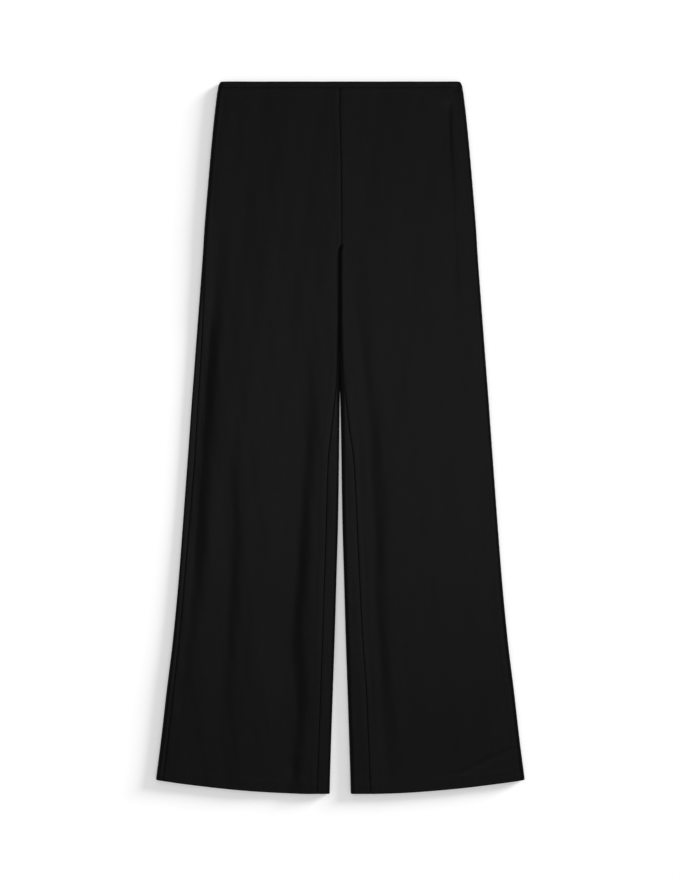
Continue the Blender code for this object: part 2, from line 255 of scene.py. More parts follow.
def half_sections(leg, below):
    """Outer surface of one half at each level: points (levels, steps, 2), run, run at the fold.

    From the centre over the top to the side fold, and back along the surface. At each fold the
    top layer turns down, and the layer below turns up, by a quarter ellipse.
    """
    below = below[:, None]
    side, inner, inner_top = (level(name, below) for name in ("side", "inner", "inner_top"))
    turn = np.sin(np.linspace(0, np.pi / 2, TURN_STEPS))
    side_top = SIDE_FOLD_ROUND * (loft(leg, below, side) - SIDE_FOLD_HEIGHT)
    out_turn = side - side_top * (1 - turn)
    in_turn = inner + inner_top * (1 - turn[::-1])
    part = np.linspace(0, 1, TOP_STEPS)[1:-1]
    plain = in_turn[:, -1:] + (out_turn[:, :1] - in_turn[:, -1:]) * part
    across = np.concatenate([in_turn, plain, out_turn], axis=1)
    closed_top = ease((below - RISE) / FORK_RUN)
    closed_foot = ease((below - RISE + FORK_RUN) / FORK_RUN)
    height = loft(leg, below, across)
    places = [row.below * MM for row in INNER_ROUNDS]
    power = smooth(below, places, [row.power for row in INNER_ROUNDS])
    inner_rounding = rounding(across - inner, inner_top, power)
    inner_drop = closed_top * (height - INNER_FOLD_HEIGHT) * (1 - inner_rounding)
    side_drop = (height - SIDE_FOLD_HEIGHT) * (1 - rounding(side - across, side_top))
    top = np.stack([across, height - inner_drop - side_drop], axis=2)

    foot_out = side - SIDE_FOLD_FOOT * (1 - turn[::-1])
    foot_in = inner + INNER_FOLD_FOOT * (1 - turn)
    part = np.linspace(0, 1, UNDER_STEPS)[1:-1]
    plain = foot_out[:, -1:] + (foot_in[:, :1] - foot_out[:, -1:]) * part
    back = np.concatenate([foot_out, plain, foot_in], axis=1)
    rise = SIDE_FOLD_HEIGHT * (1 - rounding(side - back, SIDE_FOLD_FOOT))
    rise = rise + closed_foot * INNER_FOLD_HEIGHT * (1 - rounding(back - inner, INNER_FOLD_FOOT))
    rise = rise + troughs(leg, "floor", below, back)
    foot = np.stack([back, rise], axis=2)

    points = np.concatenate([top, foot[:, 1:]], axis=1)
    steps = np.linalg.norm(np.diff(points, axis=1), axis=2)
    run = np.concatenate([np.zeros((len(steps), 1)), np.cumsum(steps, axis=1)], axis=1)
    return points, run, top.shape[1] - 1


# One half's section at a list of levels. Runs are distances along the section from the centre.
#   points: (levels, steps, 2)     run: (levels, steps)     below: the levels
#   inseam, side, fold, end: runs at the seams, at the side fold's outermost line and at the end
Half = namedtuple("Half", "leg below points run inseam side fold end")


def half(leg, below):
    """The half section at each level, with the runs of its seams."""
    points, run, fold = half_sections(leg, below)
    inseam_name, side_name = ("inseam_r", "side_r") if leg < 0 else ("inseam_l", "side_l")
    inseam_across = level("inner", below) + level(inseam_name, below)
    side_across = level("side", below) - level(side_name, below)
    top = zip(inseam_across, side_across, points[:, : fold + 1, 0], run[:, : fold + 1])
    found = np.array([np.interp(seams, across, runs) for *seams, across, runs in top])
    return Half(leg, below, points, run, found[:, 0], found[:, 1], run[:, fold], run[:, -1])


LOOK = 0.3 * MM  # a section's direction is read this far each way along it


def read(whole, at):
    """Points and inward directions of a half at these runs, an array (levels, columns).

    Runs may lie past the section's end. Below the crotch the section closes on itself, so its end
    goes on into its start. Above it, the end goes straight on.
    """
    last, length = whole.points[:, -1:], whole.run[:, -1:]
    ahead = last - whole.points[:, -2:-1]
    straight = last + whole.run[:, 1:, None] * ahead / np.linalg.norm(ahead, axis=2, keepdims=True)
    is_closed = (whole.below >= RISE + FORK_RUN)[:, None, None]
    onward = np.where(is_closed, whole.points[:, 1:], straight)
    points = np.concatenate([whole.points, onward], axis=1)
    run = np.concatenate([whole.run, length + whole.run[:, 1:]], axis=1)
    rows = list(zip(at, run, points))

    def interpolate(step):
        return np.array([[np.interp(a + step, r, p[:, i]) for i in (0, 1)] for a, r, p in rows])

    here, beyond, before = (np.moveaxis(interpolate(step), 1, 2) for step in (0, LOOK, -LOOK))
    along = beyond - before
    along /= np.linalg.norm(along, axis=2, keepdims=True)
    return here, np.stack([along[..., 1], -along[..., 0]], axis=2)


# How a shell ends at one edge, from the edge inwards.
#   outer, inner: where its outer and its inner points lie along the cloth
#   depth: how deep the outer ones lie     extra: how much deeper than the wall the inner ones lie
#   meet: share of the wall by which each face then draws near the other
Edge = namedtuple("Edge", "outer inner depth extra meet")
ROLL_STEPS = 5
CORNER_SHARE = 0.3  # of the roll's radius: how far the inner face's lines go past its corner
FOLD_START = np.radians(9)  # the two faces of a folded edge stay this turn apart, and a rim closes it


def seam_edge(radius, wall):
    """A cloth turned in at a seam: a lip straight down, then a quarter circle up to the top.

    The inner face of a single layer comes up behind the lip and turns level in a corner. Under
    two layers, which are as thick as the lip is deep, it runs on level to the seam.
    """
    turn = np.linspace(0, np.pi / 2, ROLL_STEPS + 1)
    lip = radius + SEAM_LIP
    outer = np.append(0, radius * (1 - np.cos(turn)))
    depth = np.append(lip, radius * (1 - np.sin(turn)))
    plain = np.zeros(len(outer))
    if wall < DOUBLE:
        inner = wall + radius * np.append(0, np.linspace(0, CORNER_SHARE, len(turn)))
        extra = np.append(lip - wall, plain[1:])
    else:
        inner = radius * np.linspace(0, 1, len(outer))
        extra = plain
    return Edge(outer, inner, depth, extra, plain)


def fold_edge():
    """A cloth folded back on itself at an edge: a half circle from its outer to its inner face."""
    turn = np.linspace(FOLD_START, np.pi / 2, ROLL_STEPS + 1)
    along = EDGE_ROLL * (1 - np.cos(turn))
    return Edge(along, along, 0 * turn, 0 * turn, (1 - np.sin(turn)) / 2)


NO_EDGE = Edge(*(np.zeros(1) for _ in Edge._fields))


def between(first, last, first_edge, last_edge, inner_places):
    """Lines of a shell from one edge to the other, as an Edge with places (..., lines)."""
    first, last = np.asarray(first)[..., None], np.asarray(last)[..., None]
    outer = [first + first_edge.outer, inner_places, last - last_edge.outer[::-1]]
    inner = [first + first_edge.inner, inner_places, last - last_edge.inner[::-1]]
    plain = np.zeros(inner_places.shape[-1])
    ends = zip((first_edge.depth, first_edge.extra, first_edge.meet),
               (last_edge.depth, last_edge.extra, last_edge.meet))
    others = [[start, plain, end[::-1]] for start, end in ends]
    return Edge(*(np.concatenate(parts, axis=-1) for parts in (outer, inner, *others)))


# Lines of the shells: their distances from a seam, and the steps over the plain parts
NEAR_SEAM = np.array((1.9, 3.0, 4.4, 6.0, 7.6, 8.8, 9.6, 10.4, 11.6, 13.2)) * MM
FRONT_STEPS = 78
SIDE_TOP_STEPS = 9  # of a back panel, from its side seam to the side fold
SIDE_FOOT_STEPS = 9  # round the foot of the side fold
FLOOR_STEPS = 52
INNER_STEPS = 22  # round the inner fold, up to the inseam
FOLD_ZONE = 8 * MM
PAST_ROLL = 1.3  # a back panel's plain lines start this many roll radii from its seams
ROW_STEP = 3.5 * MM
HEM_ROWS = np.array((-3.0, -1.6, -0.8, 0.0, 0.8, 1.6, 3.2, 5.6)) * MM  # round the hem's raw edge
HEM_STEPS = 5
BAND_STEPS = 7
PAST_EDGE = 1.6  # plain rows start this many radii from a folded or rolled edge


def steps_between(first, last, steps, ends=True):
    """Places in equal steps from first to last, for every level at once."""
    part = np.linspace(0, 1, steps + 1)
    part = part if ends else part[1:-1]
    return first[:, None] + (last - first)[:, None] * part


def front_columns(whole, wall, seam_at_centre=True):
    """Columns of a front panel, from the inseam to the side seam."""
    first = whole.inseam + (SEAM_GAP / 2 if seam_at_centre else 0)
    last = whole.side - SEAM_GAP / 2
    near_first = first[:, None] + NEAR_SEAM
    near_last = last[:, None] - NEAR_SEAM[::-1]
    middle = steps_between(near_first[:, -1], near_last[:, 0], FRONT_STEPS, ends=False)
    inside = np.concatenate([near_first, middle, near_last], axis=1)
    edge = seam_edge(SEAM_ROLL, wall)
    return between(first, last, edge if seam_at_centre else NO_EDGE, edge, inside)


def back_columns(whole, wall, seam_at_centre=True):
    """Columns of a back panel, from the side seam round the side fold to the inseam."""
    first = whole.side + SEAM_GAP / 2
    last = whole.end + whole.inseam - (SEAM_GAP / 2 if seam_at_centre else 0)
    start, stop = first + PAST_ROLL * SEAM_ROLL, last - PAST_ROLL * SEAM_ROLL
    foot, zone = whole.fold + FOLD_ZONE, whole.end - FOLD_ZONE
    inside = [
        steps_between(start, whole.fold + SEAM_ROLL, SIDE_TOP_STEPS),
        steps_between(whole.fold + SEAM_ROLL, foot, SIDE_FOOT_STEPS)[:, 1:],
        steps_between(foot, zone, FLOOR_STEPS)[:, 1:],
        steps_between(zone, stop, INNER_STEPS)[:, 1:],
    ]
    inside = np.concatenate(inside, axis=1)
    edge = seam_edge(SEAM_ROLL, wall)
    return between(first, last, edge, edge if seam_at_centre else NO_EDGE, inside)


def panel_rows():
    """Rows of a panel, from the waistband's seam to the hem."""
    first, last = BAND + SEAM_GAP / 2, LENGTH
    near = first + NEAR_SEAM
    hem = last - HEM_TURN + HEM_ROWS
    plain = np.linspace(near[-1], hem[0], int((hem[0] - near[-1]) / ROW_STEP))[1:-1]
    low = np.linspace(hem[-1], last - PAST_EDGE * EDGE_ROLL, HEM_STEPS + 1)[1:]
    inside = np.concatenate([near, plain, hem, low])
    return between(first, last, seam_edge(BAND_ROLL, CLOTH), fold_edge(), inside)


def band_rows():
    """Rows of the waistband, from its folded edge to its seam."""
    first, last = 0.0, BAND - SEAM_GAP / 2
    inside = np.linspace(PAST_EDGE * EDGE_ROLL, last - PAST_EDGE * BAND_ROLL, BAND_STEPS)
    return between(first, last, fold_edge(), seam_edge(BAND_ROLL, DOUBLE), inside)


# The centre seams and the slit below them wander a little, in millimetres.
Drift = namedtuple("Drift", "below aside")
DRIFT = (
    Drift(0, 0.0), Drift(35, -0.9), Drift(85, 0.4), Drift(144, 1.6), Drift(226, 2.4), Drift(238, 2.3),
    Drift(248, -0.4), Drift(320, -0.4), Drift(394, -0.3), Drift(470, 0.3), Drift(560, 0.6),
    Drift(740, 0.6), Drift(1045, 0.4),
)
DRIFT_REACH = 22 * MM
LEAN = 0.14  # slope at which the centre seams and inner folds lean aside, so none is seen through


def placed(leg, below, flat):
    """Points of a half section in metres: (across, height) to (x, y, z), with the hem's curve.

    What lies on the surface is flat there: no height is below 0.
    """
    below, across, height = below[:, None], flat[..., 0], flat[..., 1]
    outwards = (across - HEM_LEVEL_TO) / (level("side", LENGTH) - HEM_LEVEL_TO)
    bow = np.clip(outwards, 0, 1) ** HEM_BOW
    lift = HEM_RISE * bow * ease((below - HEM_LIFT_FROM) / (LENGTH - HEM_LIFT_FROM))
    aside = smooth(below, [row.below * MM for row in DRIFT], [row.aside * MM for row in DRIFT])
    aside = aside + LEAN * (height - LOFT)
    x = leg * across + aside * np.exp(-((across / DRIFT_REACH) ** 2))
    return np.stack([x, LENGTH / 2 - below + lift, np.maximum(height, 0)], axis=2)


# Relief that the seam allowances and the turned hem press into the cloth
ALLOWANCE = 10 * MM  # width of a seam allowance, pressed open
ALLOWANCE_WALL = 0.4 * MM  # what it adds to the wall
ALLOWANCE_MARK = 0.12 * MM  # how far it shows on the outside
ALLOWANCE_EDGE = 1.6 * MM  # width of the step at its raw edge
HEM_MARK = 0.08 * MM  # how far the turned-up hem shows on the outside
HEM_EDGE = 2.6 * MM  # width of the step at its raw edge
PUCKER_WANDER = 0.6  # of a step: how far the puckers come early or late
PUCKER_DRIFT = 3.1  # steps in which that wander turns by one radian
INSEAM_START = 40  # radians by which the inseam's puckers are out of step with the side seam's
CORNER_SPREAD = 0.1  # share of the lesser depth that is added at a corner
# The iron's shine smooths the roughness and is also painted into the colour as a lighter sheen
PRESSED_REACH = 5 * MM  # how far the iron's faint shine carries from a seam or an edge


def seam_relief(whole, at):
    """How deep the cloth lies beside its seams: the valley along them, and its small puckers.

    Both die away with the distance from the seam. They leave out the inseam where it lies in the
    fold at which the legs touch.
    """
    below, inseam = whole.below[:, None], whole.inseam[:, None]
    under_crotch = ease((below - RISE + 2 * FORK_RUN) / (2 * FORK_RUN))
    in_fold = under_crotch * (1 - ease(inseam / SEAM_VALLEY_REACH))
    steps = below / PUCKER_STEP
    turn = 2 * np.pi * (steps + PUCKER_WANDER * np.sin(steps / PUCKER_DRIFT))
    is_back = at[:, :1] >= whole.side[:, None]
    relief = 0
    for from_seam, is_inseam in ((at - at[:, :1], ~is_back), (at[:, -1:] - at, is_back)):
        share = np.where(is_inseam, 1 - in_fold, 1)
        valley = SEAM_VALLEY * np.exp(-((from_seam / SEAM_VALLEY_REACH) ** 2))
        pucker = PUCKER * np.sin(turn + INSEAM_START * is_inseam) * np.exp(-from_seam / PUCKER_REACH)
        relief = relief + share * (valley + pucker)
    return relief


def crossed(by_row, by_column):
    """A depth from a row's edge and one from a column's: the greater, and a little of the other.

    The little keeps the points of a corner apart, where two lips cross.
    """
    by_row, by_column = by_row[:, None], by_column[None]
    return np.maximum(by_row, by_column) + CORNER_SPREAD * np.minimum(by_row, by_column)


def from_nearest_seam(at, columns):
    """Distance of each place from its piece's nearest seam, along the cloth.

    A half of the waistband has no seam at the centre. An edge without a seam has no depth.
    """
    distances = []
    if columns.depth[0] > 0:
        distances.append(at - at[:, :1])
    if columns.depth[-1] > 0:
        distances.append(at[:, -1:] - at)
    return np.minimum.reduce(distances)


def half_grid(leg, rows, columns_of, wall):
    """One half of a shell: outer and inner points (rows, columns, 3), places on the cloth, shine.

    A face's point lies on the half section, moved inwards by its depth. The outer face's depth is
    that of its edges and its relief. The inner face's has the wall on top. Where they meet at a
    folded edge, each then moves its share of the way to the other.
    """
    faces = []
    for below, is_outer in ((rows.outer, True), (rows.inner, False)):
        whole = half(leg, below)
        columns = columns_of(whole, wall)
        at = columns.outer if is_outer else columns.inner
        here, inward = read(whole, at)
        from_seam = from_nearest_seam(at, columns)
        allowance = ease((ALLOWANCE - from_seam) / ALLOWANCE_EDGE + 0.5)
        turned = ease((below - LENGTH + HEM_TURN) / HEM_EDGE + 0.5)[:, None]
        relief = -ALLOWANCE_MARK * allowance - HEM_MARK * turned
        if wall < DOUBLE:
            relief = relief + seam_relief(whole, at)
        if is_outer:
            depth = crossed(rows.depth, columns.depth) + relief
        else:
            thick = wall + ALLOWANCE_WALL * allowance + (DOUBLE - CLOTH) * turned * (wall < DOUBLE)
            depth = thick + crossed(rows.extra, columns.extra) + relief
        faces.append(placed(leg, below, here + inward * depth[..., None]))
        if is_outer:
            cloth = np.stack([at - at[:, -1:], np.broadcast_to(-below[:, None], at.shape)], axis=2)
            edges = np.minimum(below, LENGTH - below)
            pressed = np.exp(-np.minimum(from_seam, edges[:, None]) / PRESSED_REACH)
    outer, inner = faces
    nearer = rows.meet[:, None, None] * (inner - outer)
    return outer + nearer, inner - nearer, cloth, pressed[..., None]


def mesh_object(name, points, faces, material):
    """A smooth mesh object at the origin, from an array of points and a list of faces."""
    mesh = bpy.data.meshes.new(name)
    mesh.from_pydata(points.tolist(), [], faces)
    mesh.materials.append(material)
    mesh.shade_smooth()
    piece = bpy.data.objects.new(name, mesh)
    bpy.context.scene.collection.objects.link(piece)
    return piece


def shell(name, outer, inner, cloth, pressed, material):
    """Closed shell between a grid of outer points and its grid of inner points, rims included."""
    index = np.arange(outer.shape[0] * outer.shape[1]).reshape(outer.shape[:2])
    quads, rims = [], []
    for grid in (index, index + index.size):
        corners = (grid[:-1, :-1], grid[:-1, 1:], grid[1:, 1:], grid[1:, :-1])
        quads.append(np.stack(corners, axis=-1).reshape(-1, 4))
        rims.append(np.concatenate([grid[0], grid[1:, -1], grid[-1, -2::-1], grid[-2:0:-1, 0]]))
    near, far = rims
    quads.append(np.stack([near, np.roll(near, -1), np.roll(far, -1), far], axis=-1))
    # Both faces and the rim keep one sense of turning: out of the cloth on every side.
    quads[1] = quads[1][:, ::-1]
    quads[2] = quads[2][:, ::-1]
    quads = np.concatenate(quads)
    points = np.concatenate([outer.reshape(-1, 3), inner.reshape(-1, 3)])
    a, b, c, d = (points[quads[:, i]] for i in range(4))
    volume = (a * (np.cross(b, c) + np.cross(c, d))).sum()
    if volume < 0:
        quads = quads[:, ::-1]
    piece = mesh_object(name, points, quads.tolist(), material)
    places = np.concatenate([cloth.reshape(-1, 2)] * 2)
    piece.data.uv_layers.new(name="cloth").data.foreach_set("uv", places[quads.ravel()].ravel())
    # Nearness to a seam or an edge: the crepe is smoother there and has a painted sheen in its colour
    shine = np.concatenate([pressed.ravel()] * 2)
    piece.data.attributes.new("pressed", "FLOAT", "POINT").data.foreach_set("value", shine)
    return piece


def panels(material):
    """The four panels, each with the node that it stands for."""
    rows = panel_rows()
    made = []
    for side_name, leg in (("right", -1), ("left", 1)):
        for part, columns_of in (("front", front_columns), ("back", back_columns)):
            node = f"{part}_{side_name}"
            grids = half_grid(leg, rows, columns_of, CLOTH)
            made.append((shell(node + "_panel", *grids, material), node))
    return made


def waistbands(material):
    """The two folded strips of the waistband, each from side seam to side seam."""
    rows = band_rows()
    made = []
    for part, columns_of in (("front", front_columns), ("back", back_columns)):
        whole_width = partial(columns_of, seam_at_centre=False)
        halves = []
        for leg in (-1, 1):
            grids = half_grid(leg, rows, whole_width, DOUBLE)
            is_turned = (leg > 0) != (part == "front")
            halves.append([grid[:, ::-1] if is_turned else grid for grid in grids])
        joined = [np.concatenate([right, left[:, 1:]], axis=1) for right, left in zip(*halves)]
        node = "waistband_" + part
        made.append((shell(node + "_strip", *joined, material), node))
    return made


# The crepe: a plain weave of hard-twisted yarns that crinkle into a fine pebble
BLACK = 0.0024
CLOTH_BLACK = (BLACK, BLACK, 0.98 * BLACK)
BAND_BLACK = (0.95 * BLACK, 0.95 * BLACK, 0.93 * BLACK)
ROUGH = 0.34
GLOSS = 0.036  # a dyed fibre mirrors little
SHEEN = 0.012
SHEEN_ROUGH = 0.5
YARN = 0.30 * MM  # from yarn to yarn
PEBBLE = 0.75 * MM
PEBBLE_SHAPE = (1.0, 0.6, 1.0)  # the pebbles are longer along the leg
CREPE_DEPTH = 0.09 * MM
WEAVE_SHARE = 0.12  # of that depth
BEND = 1.1  # radians by which noise bends the weave
BEND_SIZE = 2.2 * PEBBLE
MOTTLE = 60 * MM  # size of the faint clouds in the black
SINGLE_YARN = 3 * YARN  # width of the yarns of another depth of black
YARN_STRETCH = 0.012  # their width for their length
MOST = (0.25, 0.75)  # most of a noise's values lie between these
CORE = (0.3, 0.7)  # and of one with little detail between these
# Shares of the colour, and steps in roughness, at the lower and at the higher end
CLOUD_TONES = (0.88, 1.12)
YARN_TONES = (0.94, 1.06)
# The pebble's tones: painted shade in the pits between the pebbles and a painted highlight on their tops
PEBBLE_SHADE_TONES = (0.5, 1.4)
# Painted sheen: the colour is up to this much lighter beside seams and edges
PRESSED_SHEEN_TONES = (1.0, 1.1)
PIT_ROUGH = (0.12, -0.06)
PRESSED_SMOOTH = 0.03


class Finish:
    """A material's node tree, with short ways to add what the finishes here are made of."""

    def __init__(self, name, colour, rough, gloss, sheen):
        self.material = bpy.data.materials.new(name)
        self.material.use_nodes = True
        self.tree = self.material.node_tree
        self.shader = self.tree.nodes["Principled BSDF"]
        self.shader.inputs["Base Color"].default_value = (*colour, 1)
        self.shader.inputs["Roughness"].default_value = rough
        self.shader.inputs["Specular IOR Level"].default_value = gloss
        self.shader.inputs["Sheen Weight"].default_value = sheen
        self.shader.inputs["Sheen Roughness"].default_value = SHEEN_ROUGH

    def add(self, kind, links=None, **settings):
        """A node of this kind, with its settings and what is linked or set on its inputs."""
        node = self.tree.nodes.new("ShaderNode" + kind)
        for key, value in settings.items():
            setattr(node, key, value)
        for key, value in (links or {}).items():
            if isinstance(value, bpy.types.NodeSocket):
                self.tree.links.new(value, node.inputs[key])
            else:
                node.inputs[key].default_value = value
        return node

    def noise(self, place, size, detail=2.0, roughness=0.55, distortion=0.0):
        """Noise from 0 to 1 with cells of this size in metres."""
        settings = {"Vector": place, "Scale": 1 / size, "Detail": detail}
        settings.update({"Roughness": roughness, "Distortion": distortion})
        return self.add("TexNoise", settings).outputs["Fac"]

    def math(self, operation, *values):
        """One operation on one, two or three values."""
        return self.add("Math", dict(enumerate(values)), operation=operation).outputs[0]

    def spread(self, value, low, high, start=0.0, end=1.0):
        """A value between start and end, carried over to between low and high."""
        ends = {"From Min": start, "From Max": end, "To Min": low, "To Max": high}
        return self.add("MapRange", {"Value": value, **ends}).outputs["Result"]

    def mapped(self, place, **settings):
        """A place, scaled or turned."""
        return self.add("Mapping", {"Vector": place, **settings}).outputs["Vector"]

    def finish_with(self, colour, tone, height, depth):
        """Link a colour in shades of a tone, and a relief of this depth, to the shader."""
        shaded = self.add("VectorMath", {0: colour, "Scale": tone}, operation="SCALE")
        self.tree.links.new(shaded.outputs["Vector"], self.shader.inputs["Base Color"])
        bump = self.add("Bump", {"Height": height, "Distance": depth, "Strength": 1.0})
        self.tree.links.new(bump.outputs["Normal"], self.shader.inputs["Normal"])


def crepe(name, colour, turned):
    """Black crepe on a shell's own cloth map, in metres.

    The weave is the sine across the yarns times the sine along them. Noise bends it, and lies over
    it as the pebble. Faint clouds and single yarns of another depth of black vary its colour.
    Painted shade darkens the pits between the pebbles and a painted highlight lightens their tops.
    Pressing smooths it beside seams and edges, and a painted sheen lightens its colour there.
    """
    finish = Finish(name, colour, ROUGH, GLOSS, SHEEN)
    place = finish.add("UVMap", uv_map="cloth").outputs["UV"]
    if turned:
        place = finish.mapped(place, Rotation=(0, 0, np.pi / 2))
    pebbles = finish.mapped(place, Scale=PEBBLE_SHAPE)
    pebble = finish.noise(pebbles, PEBBLE, detail=2.5, distortion=0.6)

    axes = finish.add("SeparateXYZ", {"Vector": place})
    bend = finish.spread(finish.noise(place, BEND_SIZE), -BEND, BEND)
    waves = []
    for axis in ("X", "Y"):
        turn = finish.math("MULTIPLY_ADD", axes.outputs[axis], np.pi / YARN, bend)
        waves.append(finish.math("SINE", turn))
    weave = finish.math("MULTIPLY", *waves)
    height = finish.math("MULTIPLY_ADD", weave, WEAVE_SHARE, pebble)

    clouds = finish.noise(place, MOTTLE, detail=4.0, roughness=0.6)
    stretched = finish.mapped(place, Scale=(1.0, YARN_STRETCH, 1.0))
    yarns = finish.noise(stretched, SINGLE_YARN, detail=1.0)
    pressed = finish.add("Attribute", attribute_name="pressed").outputs["Fac"]
    # Painted sheen: lighter colour beside seams and edges
    tone = finish.spread(pressed, *PRESSED_SHEEN_TONES)
    # The clouds and single yarns are the cloth's own tones; the pebble's tones are painted shade in its
    # pits and a painted highlight on its tops
    shades = ((clouds, CLOUD_TONES, MOST), (yarns, YARN_TONES, CORE), (pebble, PEBBLE_SHADE_TONES, CORE))
    for pattern, tones, ends in shades:
        tone = finish.math("MULTIPLY", tone, finish.spread(pattern, *tones, *ends))
    finish.finish_with(colour, tone, height, CREPE_DEPTH)

    dull = finish.spread(pebble, *(ROUGH + step for step in PIT_ROUGH), *CORE)
    rough = finish.math("SUBTRACT", dull, finish.spread(pressed, 0.0, PRESSED_SMOOTH))
    finish.tree.links.new(rough, finish.shader.inputs["Roughness"])
    return finish.material


THREAD_BLACK = (0.004, 0.004, 0.0039)
TWIST = 0.35 * MM  # length in which the wave of the plies turns by one radian
TWIST_SLANT = 35.0
TWIST_WOBBLE = 0.6
TWIST_DEPTH = 0.04 * MM
# Painted shade in the grooves between the plies and a painted highlight on their crests
TWIST_SHADE_TONES = (0.8, 1.25)
BANDS_SCALE = 20  # radians to a metre in the band pattern at scale 1


def thread(name, colour):
    """Black polyester thread: two plies twisted together, as bands of a slanting wave."""
    finish = Finish(name, colour, rough=0.38, gloss=0.08, sheen=0.0)
    place = finish.add("TexCoord").outputs["Object"]
    slanted = finish.mapped(place, Rotation=(0, 0, np.radians(TWIST_SLANT)))
    bands = {"Vector": slanted, "Scale": 1 / (TWIST * BANDS_SCALE), "Distortion": TWIST_WOBBLE}
    plies = finish.add("TexWave", bands).outputs["Fac"]
    # The bands' tone is painted shade between the plies and a painted highlight on their crests
    finish.finish_with(colour, finish.spread(plies, *TWIST_SHADE_TONES), plies, TWIST_DEPTH)
    return finish.material


def legs_of(node):
    """The legs that a node lies on: -1 is the wearer's right, +1 the left."""
    if node.startswith("waistband"):
        return (-1, 1)
    return (-1,) if node.endswith("right") else (1,)


# Stitches of each slot's pieces, in millimetres.
#   below: their line's distance below the waist      pitch: from stitch to stitch
#   length, radius: of one stitch                     depth: of its middle below the plain cloth
#   dive: how much deeper its ends go in              reach: how near the seams the row comes
Stitch = namedtuple("Stitch", "name below pitch length radius depth dive reach")
STITCHES = {
    "waistband": Stitch("seam_stitches", 9.0, 2.6, 2.1, 0.17, 0.42, 0.30, 1.5),
    "cloth": Stitch("hem_pick_stitches", 1026.2, 7.5, 1.1, 0.13, -0.17, 0.22, 6.0),
}
STITCH_RINGS = 5
STITCH_SIDES = 6


def stitch_row(row, leg, first, last, whole):
    """Points of one row of stitches: (stitches, rings, sides, 3).

    Each stitch is a tube along the cloth. From its middle to its ends, t = 0 to 1, it gets
    thinner as 1 - t²/2 and dives as t².
    """
    starts = np.arange(first + row.reach * MM, last - row.reach * MM, row.pitch * MM)
    t = np.linspace(-1, 1, STITCH_RINGS)
    at = starts[:, None] + row.length * MM * t / 2
    here, inward = read(whole, at.reshape(1, -1))
    depth = (row.depth + row.dive * t**2) * MM * np.ones_like(at)
    centre = placed(leg, whole.below, here + inward * depth.reshape(1, -1, 1)).reshape(*at.shape, 3)
    inward = inward.reshape(*at.shape, 2)
    out = np.stack([-leg * inward[..., 0], np.zeros_like(at), -inward[..., 1]], axis=-1)
    along = np.gradient(centre, axis=1)
    aside = np.cross(along, out)
    aside /= np.linalg.norm(aside, axis=-1, keepdims=True)
    turn = 2 * np.pi * np.arange(STITCH_SIDES) / STITCH_SIDES
    radius = (row.radius * MM * (1 - t**2 / 2))[:, None, None]
    ring = np.cos(turn)[:, None] * out[:, :, None] + np.sin(turn)[:, None] * aside[:, :, None]
    return centre[:, :, None] + radius * ring


def stitches(row, node, material):
    """All stitches of a row along one piece, as one mesh."""
    tubes = []
    for leg in legs_of(node):
        whole = half(leg, np.array([row.below * MM]))
        inseam, side, end = whole.inseam[0], whole.side[0], whole.end[0]
        first, last = (inseam, side) if "front" in node else (side, end + inseam)
        tubes.append(stitch_row(row, leg, first, last, whole))
    points = np.concatenate(tubes)
    index = np.arange(points.shape[0] * STITCH_RINGS * STITCH_SIDES).reshape(points.shape[:3])
    after = np.roll(index, -1, axis=2)
    corners = (index[:, :-1], after[:, :-1], after[:, 1:], index[:, 1:])
    walls = np.stack(corners, axis=-1).reshape(-1, 4).tolist()
    caps = index[:, 0, ::-1].tolist() + index[:, -1].tolist()
    return mesh_object(f"{node}_{row.name}", points.reshape(-1, 3), walls + caps, material)


# Light, as shares of the floor's brightness
FLOOR_COLOUR = 0.88
GLOW_SHARE = 0.25  # from the floor itself
ROOM_SHARE = 0.47  # even, from all round
WINDOW_SHARE = 0.33  # from low on the right, a little from the waist's side, on the floor alone
BOX_SHARE = 0.40  # from a soft box above and to the right, on the garment alone
WINDOW_ELEVATION = 10.0
WINDOW_HEADING = 30.0
WINDOW_WIDTH = 20.0
BOX_SIZE = (4.2, 2.0)
BOX_PLACE = (1.05, 0.15, 5.0)
FLOOR_REACH = 60.0
FLOOR_DEPTH = 0.15 * MM  # just below the stitches of the underside
FLOOR_ROUGH = 0.9
FLOOR_GLOSS = 0.1


def stage_floor():
    """Plain pale floor with a faint glow of its own, wide enough to reach past every view."""
    corners = np.array([[-1, -1, 0], [1, -1, 0], [1, 1, 0], [-1, 1, 0]], float) * FLOOR_REACH
    corners[:, 2] = -FLOOR_DEPTH
    material = bpy.data.materials.new("pale_floor")
    material.use_nodes = True
    shader = material.node_tree.nodes["Principled BSDF"]
    shader.inputs["Base Color"].default_value = (FLOOR_COLOUR, FLOOR_COLOUR, FLOOR_COLOUR, 1)
    shader.inputs["Roughness"].default_value = FLOOR_ROUGH
    shader.inputs["Specular IOR Level"].default_value = FLOOR_GLOSS
    shader.inputs["Emission Color"].default_value = (1, 1, 1, 1)
    shader.inputs["Emission Strength"].default_value = GLOW_SHARE
    floor = mesh_object("floor", corners, [[0, 1, 2, 3]], material)
    return floor


# Camera, as the garment was photographed: straight above, with the whole of it in view
VIEW_HEIGHT = 1286.5 * MM  # of the picture, on the surface
FOCAL = 85.0
SENSOR = 36.0
VIEW_CENTRE = (-0.4 * MM, 0.4 * MM)
VIEW_REACH = 100  # metres, past the floor's corners


def camera():
    """Camera looking straight down."""
    data = bpy.data.cameras.new("camera")
    data.lens = FOCAL
    data.sensor_width = SENSOR
    data.clip_end = VIEW_REACH
    view = bpy.data.objects.new("camera", data)
    view.location = (*VIEW_CENTRE, VIEW_HEIGHT * FOCAL / SENSOR)
    bpy.context.scene.collection.objects.link(view)
    bpy.context.scene.camera = view


def keep_light(lamp, shown):
    """Keep a lamp's light to these objects. All objects still throw their shadows in it."""
    lit = bpy.data.collections.new(lamp.name + "_falls_on")
    for thing in shown:
        lit.objects.link(thing)
    lamp.light_linking.receiver_collection = lit


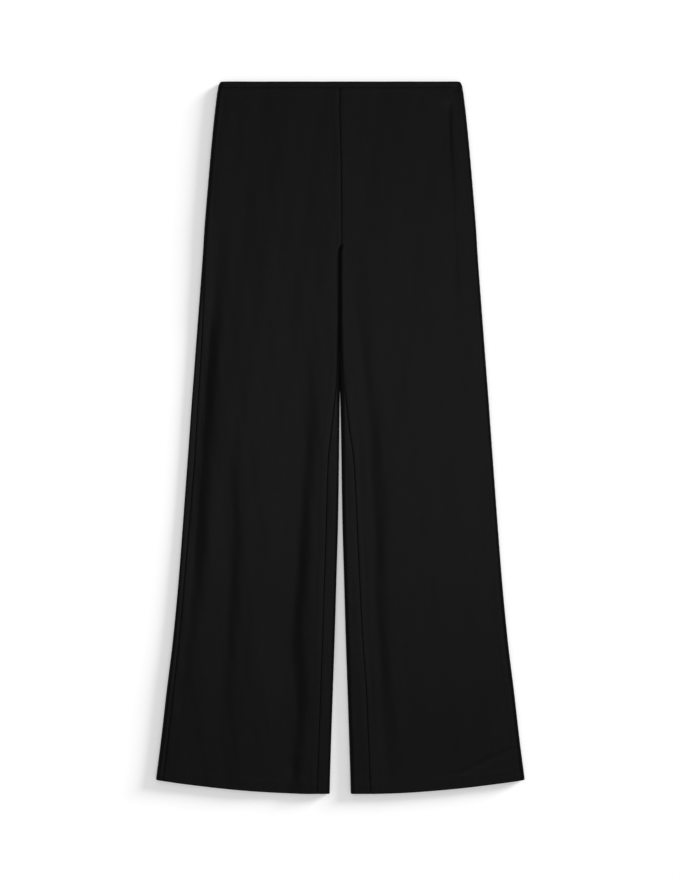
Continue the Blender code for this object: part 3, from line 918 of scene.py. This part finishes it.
def lights(garment, floor):
    """Even white light all round, a soft box above the garment, and a low window for its shadow.

    The window's strength is its share times pi / sin(elevation), over the floor's colour. The soft
    box's watts go with its share and with the square of its distance.
    """
    scene = bpy.context.scene
    world = bpy.data.worlds.new("white_room")
    world.use_nodes = True
    background = world.node_tree.nodes["Background"]
    background.inputs["Color"].default_value = (1, 1, 1, 1)
    background.inputs["Strength"].default_value = ROOM_SHARE / FLOOR_COLOUR
    scene.world = world

    window = bpy.data.lights.new("low_window", "SUN")
    elevation = np.radians(WINDOW_ELEVATION)
    window.energy = WINDOW_SHARE / FLOOR_COLOUR * np.pi / np.sin(elevation)
    window.angle = np.radians(WINDOW_WIDTH)
    lamp = bpy.data.objects.new("low_window", window)
    lamp.rotation_euler = (0, np.pi / 2 - elevation, np.radians(WINDOW_HEADING))
    scene.collection.objects.link(lamp)
    keep_light(lamp, [floor])

    box = bpy.data.lights.new("soft_box", "AREA")
    box.shape = "RECTANGLE"
    box.size, box.size_y = BOX_SIZE
    box.energy = BOX_SHARE / FLOOR_COLOUR * 4 * np.pi * BOX_PLACE[2] ** 2
    lamp = bpy.data.objects.new("soft_box", box)
    lamp.location = BOX_PLACE
    lamp.visible_camera = False
    scene.collection.objects.link(lamp)
    keep_light(lamp, garment)
    scene.view_settings.view_transform = "Standard"


# The flat cut of each node's piece
CUT_LEVELS = 200


def cut(node):
    """Flat width, length and area of what shows of a piece: its widest, its longest, and its area."""
    is_band = node.startswith("waistband")
    first, last = (0.0, BAND) if is_band else (BAND, LENGTH)
    whole = half(legs_of(node)[0], np.linspace(first, last, CUT_LEVELS))
    widths = whole.side - whole.inseam if "front" in node else whole.end + whole.inseam - whole.side
    if is_band:
        # A quarter circle is longer than its radius by (pi / 2 - 1) radii.
        roll = (np.pi / 2 - 1) * (EDGE_ROLL + BAND_ROLL) + SEAM_LIP
        return 2 * widths.max(), last - first + roll, None
    return widths.max(), last - first, widths.mean() * (last - first)


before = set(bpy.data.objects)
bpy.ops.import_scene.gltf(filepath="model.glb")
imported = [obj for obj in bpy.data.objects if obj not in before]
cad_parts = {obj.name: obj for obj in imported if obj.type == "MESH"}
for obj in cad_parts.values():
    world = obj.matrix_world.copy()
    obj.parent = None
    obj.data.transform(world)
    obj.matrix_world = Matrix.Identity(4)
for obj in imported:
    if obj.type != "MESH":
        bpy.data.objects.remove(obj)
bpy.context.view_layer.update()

cloth_material = crepe("black_crepe", CLOTH_BLACK, turned=False)
band_material = crepe("black_crepe_band", BAND_BLACK, turned=True)
thread_material = thread("black_thread", THREAD_BLACK)
garment = []
for piece, node in panels(cloth_material) + waistbands(band_material):
    slot = "waistband" if node.startswith("waistband") else "cloth"
    sewn = stitches(STITCHES[slot], node, thread_material)
    for thing in (piece, sewn):
        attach(thing, "root")
        garment.append(thing)
    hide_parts(node)
    width, length, area = cut(node)

floor = stage_floor()
camera()
lights(garment, floor)
